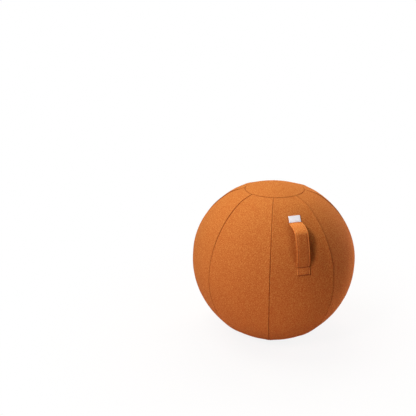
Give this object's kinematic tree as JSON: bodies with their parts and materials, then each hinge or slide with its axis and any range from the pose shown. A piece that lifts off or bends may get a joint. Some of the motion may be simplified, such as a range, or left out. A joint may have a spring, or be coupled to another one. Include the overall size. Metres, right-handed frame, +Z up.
{
  "type": "sitting ball",
  "caption": "Inflated sitting ball in a sewn orange felt cover with gores, a round top panel, a padded side carry strap, a blank label and a zipped flat base.",
  "frame": {"origin": "on the floor, under the ball's axis", "axes": "+Z up along the ball's axis, -Y towards the carry strap"},
  "size_m": [0.6442, 0.6442, 0.6149],
  "materials": {
    "cover_cloth": "heathered orange wool felt",
    "label_cloth": "plain white woven label",
    "base_cloth": "dark woven base cloth",
    "zip_nylon": "black nylon zip",
    "zip_metal": "dark nickel",
    "ring_rubber": "black rubber",
    "ball_vinyl": "grey vinyl",
    "valve_plastic": "off-white plastic"
  },
  "bodies": {
    "cover": {"cover_gore_1": "cover_cloth", "cover_gore_2": "cover_cloth", "cover_gore_3": "cover_cloth", "cover_gore_4": "cover_cloth", "cover_gore_5": "cover_cloth", "cover_gore_6": "cover_cloth", "cover_gore_7": "cover_cloth", "cover_gore_8": "cover_cloth", "top_cap": "cover_cloth", "inner_ball": "ball_vinyl", "valve_seat": "valve_plastic", "valve_plug": "valve_plastic", "base_ring": "ring_rubber", "ring_channel": "base_cloth", "base_panel": "base_cloth", "zip_tape_inner": "zip_nylon", "zip_tape_outer": "zip_nylon", "zip_coil_inner": "zip_nylon", "zip_coil_outer": "zip_nylon", "zip_stop_closed": "zip_metal", "zip_stop_open": "zip_metal", "handle_anchor_upper": "cover_cloth", "handle_anchor_lower": "cover_cloth", "handle_label": "label_cloth", "handle_patch_upper": "base_cloth", "handle_patch_lower": "base_cloth", "handle_root_upper": "cover_cloth", "handle_root_lower": "cover_cloth"},
    "handle": {"handle_grip": "cover_cloth"},
    "zip_slider": {"zip_slider": "zip_metal"},
    "zip_pull": {"zip_pull": "zip_metal"}
  },
  "joints": [
    {"name": "handle_swing", "type": "hinge", "parent": "cover", "child": "handle", "pos_m": [0, -0.26515, 0.4672], "axis": [0, 0.528, 0.8492], "range_deg": [-30, 30], "stiffness_Nm_per_rad": 0.15, "deforming": ["handle_root_upper", "handle_root_lower"]},
    {"name": "zip_run", "type": "hinge", "parent": "cover", "child": "zip_slider", "pos_m": [0, 0, 0.008], "axis": [0, 0, 1], "range_deg": [0, 237]},
    {"name": "pull_flip", "type": "hinge", "parent": "zip_slider", "child": "zip_pull", "pos_m": [-0.06655, 0.03642, 0.0046], "axis": [0.8772, -0.4801, 0], "range_deg": [0, 163]}
  ]
}
